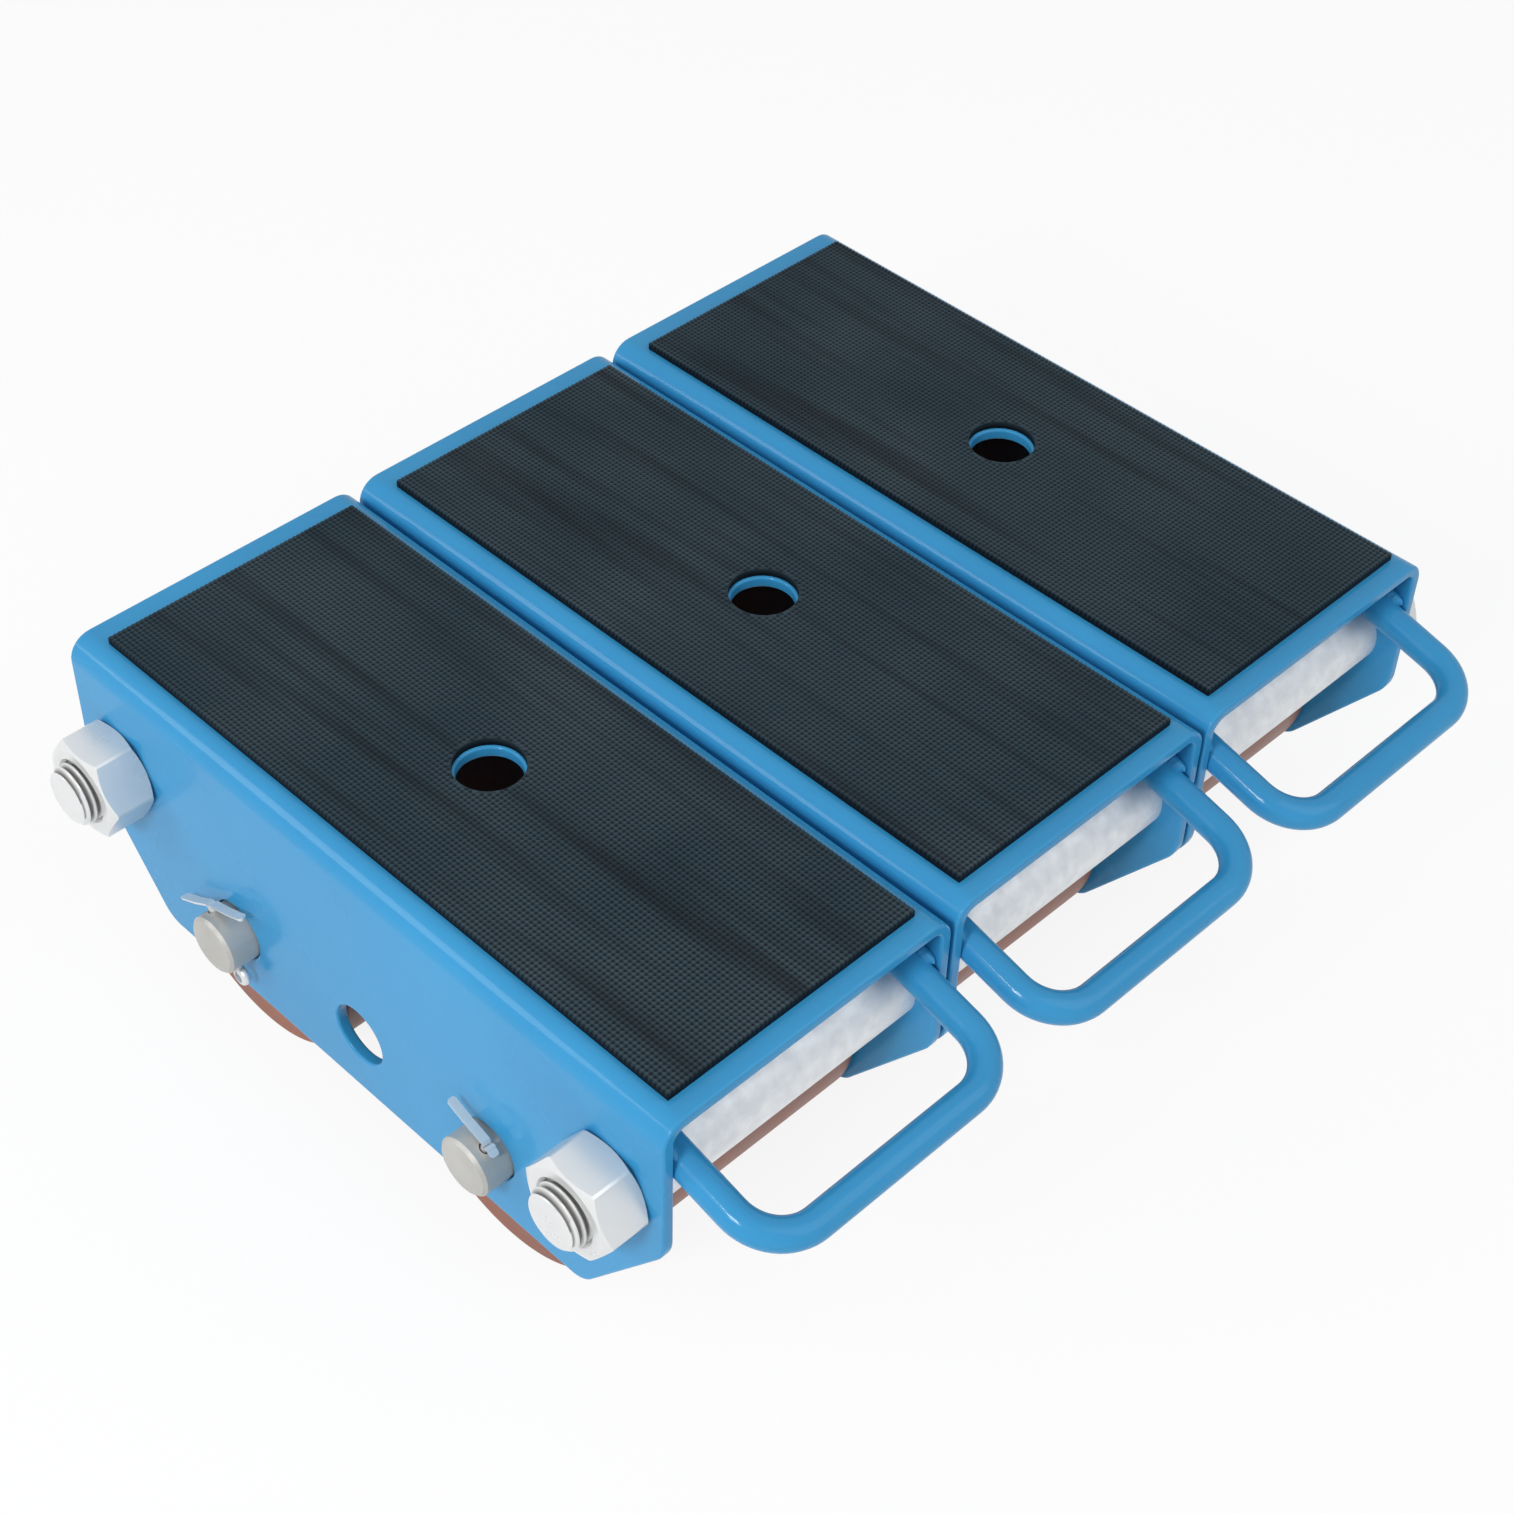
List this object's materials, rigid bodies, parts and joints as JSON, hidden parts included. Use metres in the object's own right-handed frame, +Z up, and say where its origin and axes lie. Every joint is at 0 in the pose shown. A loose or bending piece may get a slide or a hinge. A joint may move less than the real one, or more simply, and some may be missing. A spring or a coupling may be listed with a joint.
{
  "type": "machine skate",
  "caption": "Low machine skate of coupled roller cassettes: folded blue steel channels with rubber-topped decks, brown rollers on through axles, tie rods and pull handles.",
  "frame": {"origin": "on the floor, under the middle of the bounding box", "axes": "+X forward, towards the pull handles; +Y left, along the axles; +Z up"},
  "size_m": [0.2972, 0.375, 0.12],
  "materials": {
    "blue_paint": "gloss enamel",
    "pad_rubber": "fine ribbed, matt",
    "zinc_steel": "bright zinc plated",
    "tread_polyurethane": "satin, red-brown",
    "core_iron": "turned",
    "bush_bronze": "sintered"
  },
  "bodies": {
    "frame": {"deck_channel_right": "blue_paint", "rubber_pad_right": "pad_rubber", "pull_handle_right": "blue_paint", "deck_channel_middle": "blue_paint", "rubber_pad_middle": "pad_rubber", "pull_handle_middle": "blue_paint", "deck_channel_left": "blue_paint", "rubber_pad_left": "pad_rubber", "pull_handle_left": "blue_paint", "axle_front": "zinc_steel", "tie_rod_front": "zinc_steel", "axle_rear": "zinc_steel", "tie_rod_rear": "zinc_steel", "split_pins": "zinc_steel", "tie_rod_nuts": "zinc_steel", "distance_tubes": "zinc_steel", "spacer_washers": "zinc_steel", "thrust_washers": "zinc_steel"},
    "roller_front_right": {"roller_core_front_right": "core_iron", "roller_tread_front_right": "tread_polyurethane", "roller_bushes_front_right": "bush_bronze"},
    "roller_rear_right": {"roller_core_rear_right": "core_iron", "roller_tread_rear_right": "tread_polyurethane", "roller_bushes_rear_right": "bush_bronze"},
    "roller_front_middle": {"roller_core_front_middle": "core_iron", "roller_tread_front_middle": "tread_polyurethane", "roller_bushes_front_middle": "bush_bronze"},
    "roller_rear_middle": {"roller_core_rear_middle": "core_iron", "roller_tread_rear_middle": "tread_polyurethane", "roller_bushes_rear_middle": "bush_bronze"},
    "roller_front_left": {"roller_core_front_left": "core_iron", "roller_tread_front_left": "tread_polyurethane", "roller_bushes_front_left": "bush_bronze"},
    "roller_rear_left": {"roller_core_rear_left": "core_iron", "roller_tread_rear_left": "tread_polyurethane", "roller_bushes_rear_left": "bush_bronze"}
  },
  "joints": [
    {"name": "roller_front_right_spin", "type": "hinge", "parent": "frame", "child": "roller_front_right", "pos_m": [0.0403, -0.1115, 0.045], "axis": [0, 1, 0], "continuous": true},
    {"name": "roller_rear_right_spin", "type": "hinge", "parent": "frame", "child": "roller_rear_right", "pos_m": [-0.0767, -0.1115, 0.045], "axis": [0, 1, 0], "continuous": true},
    {"name": "roller_front_middle_spin", "type": "hinge", "parent": "frame", "child": "roller_front_middle", "pos_m": [0.0403, 0, 0.045], "axis": [0, 1, 0], "continuous": true},
    {"name": "roller_rear_middle_spin", "type": "hinge", "parent": "frame", "child": "roller_rear_middle", "pos_m": [-0.0767, 0, 0.045], "axis": [0, 1, 0], "continuous": true},
    {"name": "roller_front_left_spin", "type": "hinge", "parent": "frame", "child": "roller_front_left", "pos_m": [0.0403, 0.1115, 0.045], "axis": [0, 1, 0], "continuous": true},
    {"name": "roller_rear_left_spin", "type": "hinge", "parent": "frame", "child": "roller_rear_left", "pos_m": [-0.0767, 0.1115, 0.045], "axis": [0, 1, 0], "continuous": true}
  ]
}
